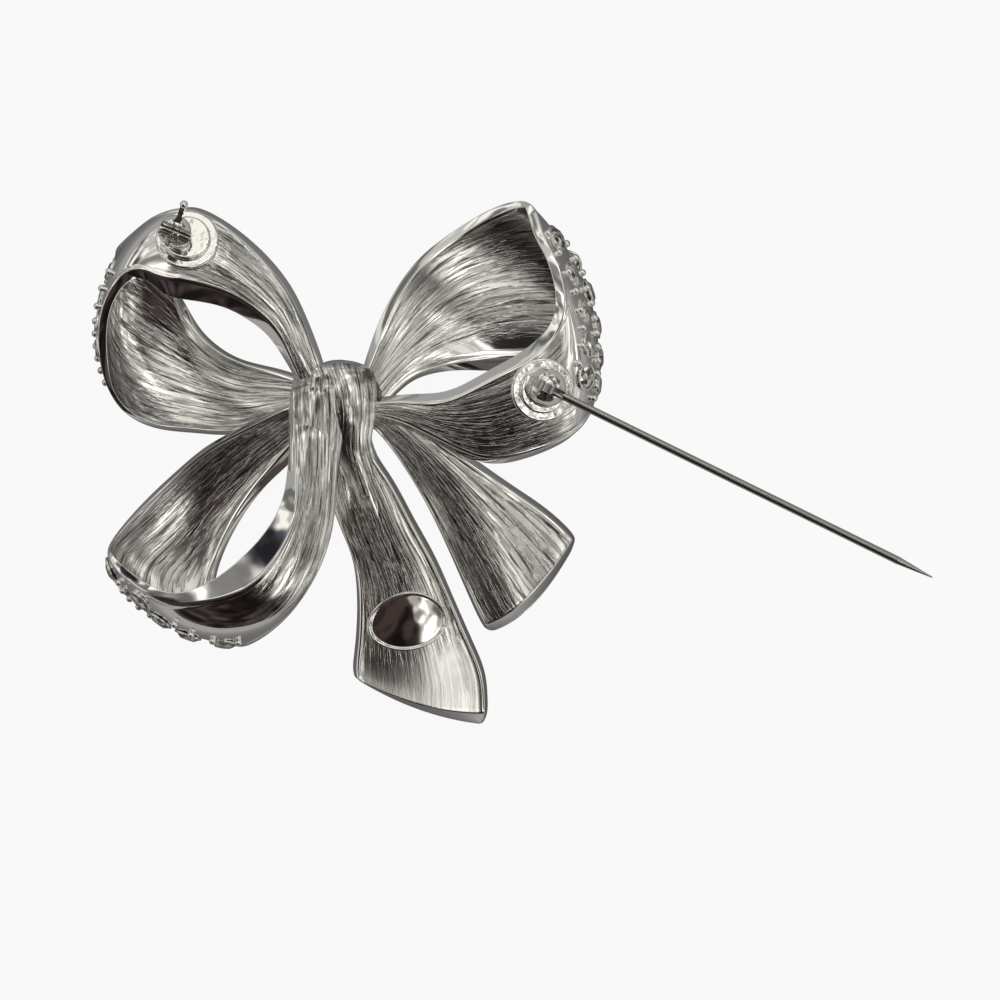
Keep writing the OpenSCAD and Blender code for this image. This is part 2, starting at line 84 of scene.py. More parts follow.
LEFT_LOOP = [
    [-1, 1.6, 62, -3.4, 0.8, 71, -6, 0, 62],
    [-2.4, 8.8, 75, -6, 7.6, 85, -9, 6.4, 79],
    [-6.2, 19.4, 74, -9.6, 16.4, 91, -12.4, 12.6, 88],
    [-10.2, 26, 72, -14.2, 21.6, 94, -17, 16.4, 92],
    [-15.6, 31.8, 70, -19.6, 26, 95, -22.2, 19, 94],
    [-22.2, 36.8, 68, -25.6, 29.6, 96, -28.4, 20.2, 96],
    [-29, 39.8, 65, -32.6, 31.6, 94, -33.8, 21.2, 97],
    [-35.2, 38.2, 56, -39.2, 32, 84, -39, 25.2, 97],
    [-40, 35.2, 44, -44.2, 28, 65, -43.6, 23.2, 95],
    [-43.8, 32.4, 32, -47.2, 22, 43, -46.6, 17.6, 88],
    [-44.8, 30.8, 20, -48, 16.6, 23, -47.4, 10.8, 75],
    [-41.2, 29.6, 9, -46.2, 12, 7, -46.4, 3.6, 58],
    [-35.8, 26.4, 5, -41, 7.8, 0, -43.2, -2.2, 40],
    [-31.4, 20.6, 5, -34.4, 5, 0, -37.2, -5.5, 25],
    [-27.6, 14.2, 9, -27.4, 2.4, 3, -29, -6.4, 20],
    [-20.4, 8.8, 19, -19.4, 0.4, 13, -19.8, -6.8, 25],
    [-10.9, 6.5, 33, -10.6, 1, 32, -10.4, -3, 33],
    [-3.4, 3.6, 43, -3.8, 0.8, 46, -4.4, -2, 43],
]
LOWER_LOOP = [
    [-8, 5.4, 36, -0.6, 8, 40, 7, 5.6, 36],
    [-8.6, -2, 80, -3, -2, 93, 2.6, -2, 74],
    [-9, -13, 90, -3, -14, 96, 1, -14, 80],
    [-10.4, -21.4, 93, -4.2, -24.6, 95, 0.2, -25, 76],
    [-15, -28.6, 95, -7.4, -35, 94, -2.8, -33.6, 71],
    [-20.2, -33.8, 96, -13.4, -42.4, 89, -7.6, -41.4, 64],
    [-25.6, -37.8, 94, -22.6, -46.4, 76, -12, -46.4, 52],
    [-33.4, -40.2, 88, -31, -46.8, 52, -17, -49.6, 38],
    [-41.2, -36.2, 77, -37.8, -42.8, 30, -21, -49.6, 23],
    [-45.8, -31.6, 58, -41.8, -38, 12, -23.4, -46.4, 12],
    [-45.4, -27.8, 35, -40.4, -32.4, 2, -25, -40.4, 7],
    [-39.8, -20.8, 22, -34, -27, 0, -24.6, -34.2, 5],
    [-33.2, -14.5, 20, -27.8, -20, 3, -20.8, -25.6, 10],
    [-26.2, -8.7, 25, -20.4, -12.8, 15, -15.2, -17.8, 20],
    [-18, -4.6, 33, -13.4, -7.6, 30, -9.2, -12.4, 32],
    [-9, 0, 43, -6, -3, 46, -3, -6, 43],
]
CENTRE_TAIL = [
    [-3.4, 0, 58, 1, -0.4, 79, 5.4, -1, 62],
    [-2, -10, 67, 3, -10, 77, 6.8, -9.4, 68],
    [-2, -18.4, 62, 5.8, -18, 72, 11.4, -16.4, 63],
    [0.4, -26, 57, 8.6, -26, 67, 15.6, -24.4, 57],
    [3, -32.4, 52, 11.6, -32.6, 62, 20, -32.2, 52],
    [4, -40.2, 46, 14.4, -40.6, 56, 23.8, -40.6, 46],
    [3.8, -48.4, 40, 15.8, -49.4, 49, 27.2, -48.2, 40],
    [3.2, -54.2, 36, 17.2, -57.6, 43, 30.4, -56, 35],
    [4, -56.4, 34, 17.2, -62.8, 40, 30.6, -65.8, 31],
]
RIGHT_TAIL = [
    [4, -3, 56, 6, -1.6, 68, 8, 0, 56],
    [9.2, -8, 60, 12.4, -6, 67, 15, -4, 58],
    [15, -16.2, 55, 19.6, -13.6, 63, 24.6, -10, 53],
    [20.4, -26, 48, 27, -22.4, 60, 34, -16.4, 48],
    [25, -35.6, 40, 33, -30.8, 53, 42.2, -21.6, 40],
    [29, -44.4, 32, 38, -38.4, 46, 47.8, -26.6, 32],
    [31, -47, 28, 40.2, -41.2, 42, 48.8, -28.8, 28],
]
STRIPS = {
    "loop_upper_right": RIGHT_LOOP,
    "loop_upper_left": LEFT_LOOP,
    "loop_lower_left": LOWER_LOOP,
    "tail_centre": CENTRE_TAIL,
    "tail_right": RIGHT_TAIL,
}

# The two bands over the knot, in the same columns: one wraps it down to the centre tail, and one
# carries the lower loop's pleats up its left half
KNOT_WRAP = [
    [-5, 6.4, 56, 1.4, 8.2, 60, 7.4, 6.4, 52],
    [-5.4, 6, 76, 2, 7.2, 86, 8, 5.6, 66],
    [-3.6, 2, 88, 3.4, 3, 94, 8.6, 2, 73],
    [-2, -4, 88, 4, -3.4, 92, 8.4, -3.6, 73],
    [-1.6, -9, 74, 3.6, -9.4, 80, 7.4, -8.4, 68],
    [0.6, -14, 61, 4.8, -14, 71.6, 9, -13, 62],
    [2.6, -19, 55, 6.4, -19, 65.2, 10.6, -18, 57],
    [4.4, -24, 50, 8.2, -24, 59.4, 12.4, -23, 50],
    [6.6, -29, 43, 10, -29, 51, 14.4, -28, 42],
]
KNOT_FOLD = [
    [-8.6, 5, 58, -3.4, 5.6, 74, 1.4, 5, 76],
    [-9.2, 2, 74, -3.6, 3.4, 95, 2.2, 3, 88],
    [-9.3, -2, 79, -3.2, -2, 96, 2.6, -2, 86],
    [-9.2, -6, 84, -3.1, -6, 96, 2.1, -6, 83],
    [-9.1, -10, 87, -3, -10, 95.8, 1.5, -10, 80],
    [-9, -14, 88, -3, -14, 95, 1, -14, 78],
    [-8.8, -18, 87, -3.1, -18, 93, 0.6, -18, 77],
]
KNOT_BANDS = {"knot_wrap": KNOT_WRAP, "knot_fold": KNOT_FOLD}
FOLD_T = 0.5

# How far strips sag below the tables, or rise over them where it is less than 0.
# Columns: row of the table, millimetres at A, M and B
SAGS = {
    "loop_upper_right": [[1, 0, 0, 0], [2, 0, 0.45, 0], [3.2, 0, 0.5, 0], [4.2, 0, 0, 0]],
    "tail_centre": [
        [0, 0, 0, 0], [1, 0.8, 0.8, 0], [3, 1.3, 1.15, 0],
        [4, 1.2, 1.05, 0], [5.5, 0.2, 0.5, 0.1], [8, -0.9, 0.1, 0.2],
    ],
    "tail_right": [
        [0, 0, 0, 0], [1, 0.8, 0.4, -0.5], [2, 1.2, 0.7, -0.6],
        [3, 1, 0.7, -0.4], [4, 0.2, 0.4, 0], [6, -0.6, 0.1, 0.3],
    ],
}

# Slant of each strip's edges on the side that faces up.
# Columns: row of the table, millimetres at A and at B
SLANTS = {
    "loop_upper_right": [
        [0, 0.4, 0.5], [2, 0.8, 0.9], [4.5, 0.8, 0.9], [9, 0.8, 0.5], [10.5, 1.3, 0.8],
        [12, 1.1, 0.9], [13.4, 0.4, 0.8], [15, 0.3, 0.6],
    ],
    "loop_upper_left": [
        [0, 0.5, 0.3], [1, 0.8, 0.4], [3, 1.1, 1.1], [5.5, 1, 1.6], [7, 0.8, 0.8], [9, 0.8, 0.9],
        [11, 0.1, 0.8], [12.6, 0.1, 0.5], [13.1, 0.9, 0.4], [14, 0.6, 0.4], [15, 0.25, 0.35],
        [17, 0.2, 0.3],
    ],
    "loop_lower_left": [
        [0, 0.2, 0.2], [2, 0.4, 0.25], [3, 1.3, 0.3], [5, 1.7, 0.4], [7, 1.3, 0.6], [9, 0.6, 0.8],
        [10.4, 0.5, 0.5], [12, 0.3, 0.6], [14, 0.3, 1.1], [15, 0.3, 1.2],
    ],
    "tail_centre": [[0, 0.1, 0.2], [3, 0.2, 0.25], [8, 0.3, 0.35]],
    "tail_right": [[0, 0.2, 0.3], [3, 0.2, 0.25], [6, 0.3, 0.3]],
    "knot_wrap": [[0, 0.1, 0.1], [8, 0.1, 0.1]],
    "knot_fold": [[0, 0.1, 0.1], [6, 0.1, 0.1]],
}

# Where the strips' faces are polished or satin. Columns: the face, the first and the last row of the
# table, the rows over which it fades in and out, the rows that it leans back from A to B, the places
# across at which it starts to fade and has gone, and how polished and how satin it is. FROM_START,
# TO_END and FULL_WIDTH lie past every strip's ends and edges
FROM_START = -1
TO_END = 20
FULL_WIDTH = (2, 3)
FINISHES = {
    "loop_upper_right": [
        ["outer", 5.3, 9.2, 0.3, 0, *FULL_WIDTH, 1, 0],
        ["inner", 4, 8.4, 0.5, 0, *FULL_WIDTH, 1, 0],
        ["inner", 11, 12.6, 0.9, 0, 0.16, 0.26, 1, 0],
        ["inner", 8.4, 10, 0.8, 0, *FULL_WIDTH, 0, 0.5],
    ],
    "loop_upper_left": [
        ["outer", 6, TO_END, 0.25, 0, *FULL_WIDTH, 1, 0],
        ["inner", FROM_START, 8.6, 0.5, 0, *FULL_WIDTH, 1, 0],
        ["inner", 12.9, 13.6, 0.4, 0, 0.1, 0.14, 1, 0],
        ["inner", 14.6, TO_END, 0.8, 0, *FULL_WIDTH, 0, 0.5],
    ],
    "loop_lower_left": [
        ["outer", 5.4, TO_END, 0.9, 0, *FULL_WIDTH, 1, 0],
        ["inner", FROM_START, 9, 0.5, 0, *FULL_WIDTH, 1, 0],
        ["inner", 8, 10.6, 0.5, 0, *FULL_WIDTH, 0, 0.8],
    ],
    "tail_centre": [["both", 7, TO_END, 1, 0.8, *FULL_WIDTH, 0.85, 1]],
    "tail_right": [["both", 4, TO_END, 1, 0, *FULL_WIDTH, 0, 0.5]],
    "knot_wrap": [["both", FROM_START, 0.7, 0.3, 0, *FULL_WIDTH, 1, 1]],
    "knot_fold": [],
}

# Rows of the CAD part's prongs. Columns: place along and across the ribbon of the row's start, the
# same of its end, and number
RIGHT_PRONGS = [[5.62, 0.58, 8.05, 0.96, 8], [6.16, 0.17, 8.95, 0.76, 12]]
LEFT_PRONGS = [[9.5, 0.2, 11.4, 0.95, 11]]
LOWER_PRONGS = [[6.85, 0.3, 6.35, 0.8, 4], [8.3, 0.12, 7.72, 0.9, 9]]

# Rows of the beads shown, in the same columns. The upper left loop's are those seen beside its stones
BEADS = {
    "upper_right": RIGHT_PRONGS,
    "upper_left": [[9.5, 0.74, 11.15, 0.88, 6], [8.1, 0.66, 9.1, 0.7, 3]],
    "lower_left": LOWER_PRONGS,
}

# Rows of stones, in the same columns
STONES = {
    "upper_right": [[5.9, 0.4, 8.5, 0.86, 5], [7, 0.13, 9.3, 0.64, 5]],
    "upper_left": [[8.7, 0.34, 10.1, 0.9, 4]],
    "lower_left": [[7.7, 0.2, 6.9, 0.82, 4], [9, 0.22, 8.6, 0.82, 4]],
}

# The two balls of a bead. Columns: height in shares of BEAD_RISE, size in shares of BEAD_D
BEAD_BALLS = [[0.7, 1], [0.2, 0.9]]
BALL_RINGS = 10
BALL_SPOTS = 16

# Bright-cut rings round the stones: the radius of their round, the points round the stone and round
# that, and the direction that sets where a ring starts
BEZEL_R = 0.17
BEZEL_STEPS = 32
BEZEL_SPOTS = 8
BEZEL_START = [0.0, 0.3, 1.0]

# Smoothing along a strip: the spread in rows of the bell curve that averages it, how many spreads it
# reaches to each side, and its points. A tangent is taken between two places a small step apart
EASE = 0.3
EASE_REACH = 2
EASE_SPOTS = np.linspace(-EASE_REACH, EASE_REACH, 9)
EASE_WEIGHTS = np.exp(-EASE_SPOTS**2 / 2)
TANGENT_STEP = 0.02

# Steps to a row and places across at which the bow's lowest corner is looked for
LOW_STEPS = 6
LOW_PLACES = 9

# Steps to a row in the shown strips, and points across a face and round a corner
STEPS = 14
FACE_SPOTS = 26
CORNER_SPOTS = 4

# Sections of the strips, in millimetres: the rounding of their corners, the polished rim, the step
# inside it and how far the engraved middle is sunk. A narrower face than NARROW_FACE has less of a rim
CORNER_R = 0.16
RIM_W = 0.2
RIM_STEP = 0.12
RIM_SUNK = 0.06
NARROW_FACE = 3.2
# How far the edges slant in on both sides, how far the side that faces down spreads out again, and
# the most of the width that the slant and the corners may take
BEVEL = 0.12
SPREAD = 0.15
MOST_INSET = 0.25
CORNER_SHARE = 0.05

# Free ends of the tails: how far their walls slope out, in millimetres, the rows of finer steps for a
# millimetre of slope and the number of those steps, the rounding of the corners, and the most of the
# thickness that the slope takes away
CENTRE_END_SLOPE = 0.8
RIGHT_END_SLOPE = 1.5
END_U = 0.4
END_STEPS = 24
END_CORNER_R = 1.1
MOST_SUNK = 0.97

# How much broader the outer face's lines are than the inner one's, on the strips where they are
COARSE = 0.5
# Depths in the engraved lines' pattern: the outer face's over the inner one's, and the knot's
OUTER_PATTERN = 40
KNOT_PATTERN = 7

# Oval plaque on the centre tail: its length, width and turn, its middle's place along and across the
# tail, and the steps of both for a millimetre
PLAQUE_L = 10.3
PLAQUE_W = 6.8
PLAQUE_TURN = math.radians(20)
PLAQUE_U = 5.43
PLAQUE_V = 0.48
PLAQUE_DU = 0.19
PLAQUE_DV = 0.078
PLAQUE_STEPS = 96
# Its rim, from its foot inwards. Columns: share of the way out, millimetres over the tail
PLAQUE_RIM = [
    [1, -0.3], [1, 0.14], [0.985, 0.3], [0.955, 0.38], [0.92, 0.3], [0.895, 0.14], [0.88, 0.07],
]
# Its slightly domed floor: shares of the way out, and the dome's top and fall in millimetres
DOME_SPOTS = np.linspace(0.86, 0.05, 14)
DOME_TOP = 0.22
DOME_FALL = 0.2

# The knot under the two bands: its middle and half depth, and its points round and up
KNOT_AT = np.array([0.36, -0.24, 6.0])
KNOT_DEEP = 4.4
KNOT_STEPS = 96
KNOT_RISES = 64
# Its pleats: their height in millimetres, the radians that their sine turns from the knot's middle to
# its side, and the size and turn of their sway
PLEAT_H = 0.16
PLEAT_TURN = 21
SWAY = 1.5
SWAY_TURN = 3

# Metals: the plating, the painted shade in its grooves and the pin's wire
PLATING = (0.9, 0.885, 0.86)
GROOVE_PAINTED_SHADE = (0.13, 0.12, 0.105)
WIRE = (0.45, 0.44, 0.42)
ENGRAVED_ROUGHNESS = 0.14
POLISHED_ROUGHNESS = 0.07
SATIN_ROUGHNESS = 0.12
FINDING_ROUGHNESS = 0.1
WIRE_ROUGHNESS = 0.16

# Engraved lines. Columns: the pattern's scale along, across and between the faces, and its detail
BROAD_LINES = [(0.12, 1.8, 1), 3.0]
FINE_LINES = [(0.16, 4.0, 1), 2.0]
LINE_ROUGHNESS = 0.6
# The noise's values at the bottom and at the top of a line's side
LINE_EDGE = (0.42, 0.5)
# Their depth in millimetres, the fine ones' share of it, and the shares of both in the painted shade that
# darkens the grooves
LINE_DEPTH = 0.02
FINE_DEPTH = 0.45
FINE_SHADE_SHARE = 0.55
BROAD_SHADE_SHARE = 0.45

# Slight unevenness. Columns: the noise's scale, detail and roughness, depth in millimetres, strength
CAST_WAVES = [300.0, 1.0, 0.5, 0.06, 0.5]
FINDING_WAVES = [700.0, 2.0, 0.5, 0.15, 0.5]
WIRE_WAVES = [900.0, 3.0, 0.6, 0.02, 0.15]

# Foiled glass: its dark and bright tones, which are painted shade and painted glints, the scale of its
# patches, and the two random values between which a patch goes from dark to bright
GLASS_PAINTED_SHADE = (0.1, 0.09, 0.08)
GLASS_PAINTED_GLINT = (1, 0.97, 0.9)
GLASS_PATCHES = 1500.0
GLASS_RANGE = (0.3, 0.6)
GLASS_ROUGHNESS = 0.04
GLASS_FOIL = 0.85

# The paper below. It glows evenly as the camera sees it. In the metal's mirror its glow is darker, and
# its painted shade is darkest near the metal, where the bow shades it, up to SHADE_REACH millimetres away
PAPER_W = 1200.0
PAPER = (0.5, 0.5, 0.47)
PAPER_ROUGHNESS = 0.8
PAPER_GLOW_SHARE = 0.93
PAPER_SEEN_IN_METAL = 0.38
PAPER_IN_SHADE = 0.05
SHADE_REACH = 30.0

# The room round the camera. Columns: direction right and up in the picture, reach and soft edge in
# degrees, and red, green and blue
ROOM_GREY = (0.27, 0.27, 0.25)
ROOM = [
    [0, 0.75, 40, 20, 0.5, 0.5, 0.47],
    [-0.9, 0.1, 22, 25, 0.5, 0.5, 0.47],
    [-0.05, -0.95, 42, 5, 0.035, 0.028, 0.027],
    [-0.3, -0.38, 22, 2, 0.025, 0.018, 0.017],
    [0.1, -0.16, 6, 2, 0.85, 0.83, 0.79],
    [0.8, -0.55, 16, 12, 0.6, 0.59, 0.56],
    [0.31, -0.41, 10, 3, 1.4, 1.37, 1.32],
    [0.85, 0, 15, 6, 1.1, 1.08, 1.04],
    [0.38, 0.43, 14, 5, 1.45, 1.43, 1.37],
    [-0.64, 0.42, 9, 3, 0.05, 0.05, 0.065],
    [-0.66, 0.12, 7, 5, 0.8, 0.78, 0.74],
    [-0.24, 0.38, 10, 5, 0.75, 0.74, 0.71],
    [0.02, 0, 5, 4, 0.2, 0.19, 0.18],
    [0.15, 0.25, 5, 2, 0.03, 0.026, 0.028],
]
# Its clutter. Columns: scale, the noise's range, and how dark and how light it makes the room
CLUTTER = [
    [3.2, 0.44, 0.54, 0.45, 1.6],
    [6, 0.5, 0.55, 0.7, 1.3],
]
CLUTTER_DETAIL = 1.5
CLUTTER_ROUGHNESS = 0.5

# The camera's place, the level at which it sees CAMERA_VIEW across, and its nearest distance
CAMERA_X = 19.8
CAMERA_Y = -12.0
CAMERA_H = 430.0
CAMERA_LEVEL = 9.0
CAMERA_VIEW = 120.0
CAMERA_NEAR = 10.0


class Ribbon:
    """A ribbon's surface from its section table, in millimetres. A place on it is u rows along the
    table and v across, from 0 at the edge A to 1 at the edge B."""

    def __init__(self, table, ease=EASE, sags=None):
        scale = np.tile([BOW_W, BOW_H, BOW_D], 3) / 100
        self.rows = np.array(table, float) * scale
        self.last = len(table) - 1
        self.ease = ease
        if sags:
            along, *drops = np.transpose(sags)
            numbers = np.arange(len(table))
            self.rows[:, 2::3] -= np.transpose([np.interp(numbers, along, drop) for drop in drops])

    def raw(self, u):
        """Rows between the table's own, on a smooth curve through them. u is an array."""
        i = np.clip(np.floor(u).astype(int), 0, self.last - 1)
        t = (u - i)[:, None]
        p0 = self.rows[np.maximum(i - 1, 0)]
        p1 = self.rows[i]
        p2 = self.rows[i + 1]
        p3 = self.rows[np.minimum(i + 2, self.last)]
        quad = (2 * p0 - 5 * p1 + 4 * p2 - p3) * t**2
        return (2 * p1 + (p2 - p0) * t + quad + (3 * p1 - p0 - 3 * p2 + p3) * t**3) / 2

    def eased(self, u):
        """The same, averaged over a short stretch, so that a mirror finish shows no kinks."""
        near = np.minimum(np.minimum(u, self.last - u) / EASE_REACH, self.ease)
        near = np.maximum(near, 0)
        total = sum(weight * self.raw(u + spot * near) for spot, weight in zip(EASE_SPOTS, EASE_WEIGHTS))
        return total / EASE_WEIGHTS.sum()

    def at(self, u, v):
        """Points and outward normals. u has one value a section, v one row of places for each."""
        rows = self.eased(u)
        along = (self.eased(u + TANGENT_STEP) - self.eased(u - TANGENT_STEP)) / (2 * TANGENT_STEP)
        weights = np.stack([(1 - v) * (1 - 2 * v), 4 * v * (1 - v), v * (2 * v - 1)], -1)
        slopes = np.stack([4 * v - 3, 4 - 8 * v, 4 * v - 1], -1)
        corners = rows.reshape(-1, 3, 3)
        point = weights @ corners
        tangent_u = weights @ along.reshape(-1, 3, 3)
        tangent_v = slopes @ corners
        normal = np.cross(tangent_u, tangent_v)
        return point, normal / np.linalg.norm(normal, axis=-1, keepdims=True)

    def spot(self, u, v):
        """One point and its normal."""
        point, normal = self.at(np.array([u]), np.array([[v]]))
        return point[0, 0], normal[0, 0]


def places(ribbon, settings):
    """Points and normals of rows of stones or beads."""
    found = []
    for u0, v0, u1, v1, count in settings:
        for k in range(count):
            f = k / (count - 1)
            found.append(ribbon.spot(u0 + f * (u1 - u0), v0 + f * (v1 - v0)))
    return found


def own_low():
    """The bow's lowest corner in the tables' own millimetres, from its strips and its leftmost prongs."""
    across = np.linspace(0, 1, LOW_PLACES)
    points = []
    for table in STRIPS.values():
        strip = Ribbon(table, ease=0)
        u = np.linspace(0, strip.last, strip.last * LOW_STEPS + 1)
        points.append(strip.at(u, np.tile(across, (len(u), 1)))[0].reshape(-1, 3))
    reach = np.array([BEAD_D / 2 * math.cos(math.pi / BEAD_FACETS), 0, 0])
    prongs = places(Ribbon(LEFT_LOOP, ease=0), LEFT_PRONGS)
    points.append([point + normal * BEAD_RISE - reach for point, normal in prongs])
    return np.concatenate(points).min(0)


RIBBONS = {
    name: Ribbon(table, sags=SAGS.get(name))
    for name, table in [*STRIPS.items(), *KNOT_BANDS.items()]
}
# Where the frame's origin lies in the tables' own millimetres
ORIGIN = own_low() - np.array(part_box("bow")[0]) / MM


def smooth(edge0, edge1, x):
    """0 up to edge0 and 1 from edge1, with a soft rise between them."""
    t = np.clip((x - edge0) / (edge1 - edge0), 0, 1)
    return t * t * (3 - 2 * t)


def grid_faces(n, m, round_n=False, round_m=False):
    """Faces of a grid of n rows of m points. round_n closes the rows to a ring, round_m each row."""
    return [
        (k * m + j, (k + 1) % n * m + j, (k + 1) % n * m + (j + 1) % m, k * m + (j + 1) % m)
        for k in range(n if round_n else n - 1)
        for j in range(m if round_m else m - 1)
    ]


def new_piece(name, points, faces, material):
    """A smooth-shaded mesh on the bow's body, from points in the tables' own millimetres."""
    mesh = bpy.data.meshes.new(name)
    mesh.from_pydata([tuple(p) for p in (np.asarray(points) - ORIGIN) * MM], [], faces)
    mesh.materials.append(material)
    mesh.shade_smooth()
    piece = bpy.data.objects.new(name, mesh)
    bpy.context.scene.collection.objects.link(piece)
    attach(piece, "brooch")
    return piece


def keep(piece, name, kind, values):
    """Keeps a value or a vector of each point on the mesh, for the material."""
    layer = piece.data.attributes.new(name, kind, "POINT")
    field = "vector" if kind == "FLOAT_VECTOR" else "value"
    layer.data.foreach_set(field, np.asarray(values, np.float32).ravel())


def keep_finish(piece, polish, satin, grain):
    """How polished and how satin each point is, and its place along and across the engraved lines."""
    keep(piece, "satin", "FLOAT", satin)
    keep(piece, "polish", "FLOAT", polish)
    keep(piece, "grain", "FLOAT_VECTOR", grain)


def polished_piece(name, points, faces, material):
    """A piece that is polished all over."""
    piece = new_piece(name, points, faces, material)
    count = len(points)
    keep_finish(piece, np.ones(count), np.zeros(count), np.zeros((count, 3)))


def face_spots(start, end):
    """Places across a face, how far each sinks and how polished it is: a rim, a step and an engraved
    middle."""
    span = end - start
    fit = min(1, span / NARROW_FACE)
    near = fit * np.array([0, RIM_W / 2, RIM_W, RIM_W + RIM_STEP / 2, RIM_W + RIM_STEP])
    middle = np.linspace(near[-1], span - near[-1], FACE_SPOTS)[1:-1]
    away = np.concatenate([near, middle, (span - near)[::-1]])
    edge = np.minimum(away, span - away) / fit
    down = smooth(RIM_W, RIM_W + RIM_STEP, edge)
    return start + away, down * RIM_SUNK, 1 - down


def bend(p0, p1, p2):
    """Spots on a round corner from p0 past p1 to p2, without its two ends."""
    t = np.linspace(0, 1, CORNER_SPOTS + 2)[1:-1, None]
    return (1 - t) ** 2 * p0 + 2 * t * (1 - t) * p1 + t**2 * p2


def wall(face_x, top, foot, foot_x, t, r):
    """Spots down a slanting edge of a strip, from its outer face to its inner one."""
    top = np.array([top, 0.0])
    foot = np.array([foot, t])
    along = (foot - top) / np.linalg.norm(foot - top)
    first = bend(np.array([face_x, 0.0]), top, top + r * along)
    last = bend(foot - r * along, foot, np.array([foot_x, t]))
    straight = [top + r * along, (top + foot) / 2, foot - r * along]
    return np.concatenate([first, straight, last])


def section(width, facing, slant_a, slant_b, t):
    """A closed section: places across from A and under the outer face, the polish of each spot, and
    its side, from 1 on the outer face to 0 on the inner one. The side that faces down is the wider."""
    up = np.array([max(facing, 0), max(-facing, 0)])
    spread = BEVEL - SPREAD * up[::-1]
    in_a = np.minimum(MOST_INSET * width, spread + slant_a * up)
    in_b = np.minimum(MOST_INSET * width, spread + slant_b * up)
    r = min(CORNER_R, CORNER_SHARE * width)
    x1, down1, polish1 = face_spots(in_a[0] + r, width - in_b[0] - r)
    x2, down2, polish2 = face_spots(in_a[1] + r, width - in_b[1] - r)
    outer = np.stack([x1, down1], 1)
    inner = np.stack([x2, t - down2], 1)[::-1]
    side_b = wall(x1[-1], width - in_b[0], width - in_b[1], x2[-1], t, r)
    side_a = wall(x1[0], in_a[0], in_a[1], x2[0], t, r)[::-1]
    ring = np.concatenate([outer, side_b, inner, side_a])
    edge = np.ones(len(side_b))
    polish = np.concatenate([polish1, edge, polish2[::-1], edge])
    side = np.concatenate([np.ones(len(outer)), edge / 2, np.zeros(len(inner)), edge / 2])
    return ring, polish, side


def sections_along(ribbon, end_slope):
    """Where a strip's sections stand, closer together towards the free end of a tail."""
    u = np.linspace(0, ribbon.last, ribbon.last * STEPS + 1)
    if end_slope:
        start = ribbon.last - END_U * end_slope
        u = np.concatenate([u[u < start], np.linspace(start, ribbon.last, END_STEPS)])
    return u


def free_end(left, width, v, down, polish, t, end_slope):
    """Slopes out the wall of a tail's free end and rounds its two corners. left is the length that is
    left to the end. Gives the new places across, the depths under the outer face and the polish."""
    sunk = t * np.clip(1 - left / end_slope, 0, MOST_SUNK)
    near = np.clip(1 - left / END_CORNER_R, 0, 1)
    inset = END_CORNER_R * (1 - np.sqrt(1 - near**2)) / width
    return inset + v * (1 - 2 * inset), np.maximum(down, sunk), np.where(down < sunk, 1, polish)


def face_finish(name, u, v, side):
    """How polished and how satin a strip's faces are, from its rows in FINISHES."""
    share_of = {"outer": side, "inner": 1 - side, "both": np.ones(side.shape)}
    polish = np.zeros(side.shape)
    satin = np.zeros(side.shape)
    for face, first, last, fade, lean, fading, gone, polished, matt in FINISHES[name]:
        row = u + lean * v
        along = smooth(first - fade, first, row) * (1 - smooth(last, last + fade, row))
        share = along * (1 - smooth(fading, gone, v)) * share_of[face]
        polish = np.maximum(polish, polished * share)
        satin = np.maximum(satin, matt * share)
    return polish, satin


def ribbon_piece(name, t, material, end_slope=0, coarse=0):
    """A strip with slanting polished edges and engraved faces. end_slope is how far the wall of a
    tail's free end slopes out, and coarse how much broader the outer face's lines are than the inner
    one's."""
    ribbon = RIBBONS[name]
    u = sections_along(ribbon, end_slope)
    ends = ribbon.at(u, np.tile([0.0, 1.0], (len(u), 1)))[0]
    middle, normals = ribbon.at(u, np.full((len(u), 1), 0.5))
    width = np.linalg.norm(ends[:, 1] - ends[:, 0], axis=1)
    lengths = np.linalg.norm(np.diff(middle[:, 0], axis=0), axis=1)
    run = np.concatenate([[0], np.cumsum(lengths)])[:, None]
    rows, at_a, at_b = np.transpose(SLANTS[name])
    values = zip(width, normals[:, 0, 2], np.interp(u, rows, at_a), np.interp(u, rows, at_b))
    sections = [section(*some, t) for some in values]
    rings, polish, side = [np.array(x) for x in zip(*sections)]
    width = width[:, None]
    v = rings[:, :, 0] / width
    down = rings[:, :, 1]
    # The engraved lines fan out with the strip, so they are laid across its mean width
    across = (v - 0.5) * width.mean() / (1 + coarse * side)
    grain = np.stack([np.broadcast_to(run, v.shape), across, side * OUTER_PATTERN], -1)
    smoothed, satin = face_finish(name, u[:, None], v, side)
    if end_slope:
        v, down, polish = free_end(run[-1] - run, width, v, down, polish, t, end_slope)
    points = (ribbon.at(u, v)[0] - normals * down[:, :, None]).reshape(-1, 3)
    n, m = v.shape
    faces = grid_faces(n, m, round_m=True)
    faces += [tuple(range(m)), tuple(range(n * m - 1, n * m - m - 1, -1))]
    piece = new_piece(name, points, faces, material)
    keep_finish(piece, np.maximum(polish, smoothed), satin * (1 - polish), grain)
    return piece


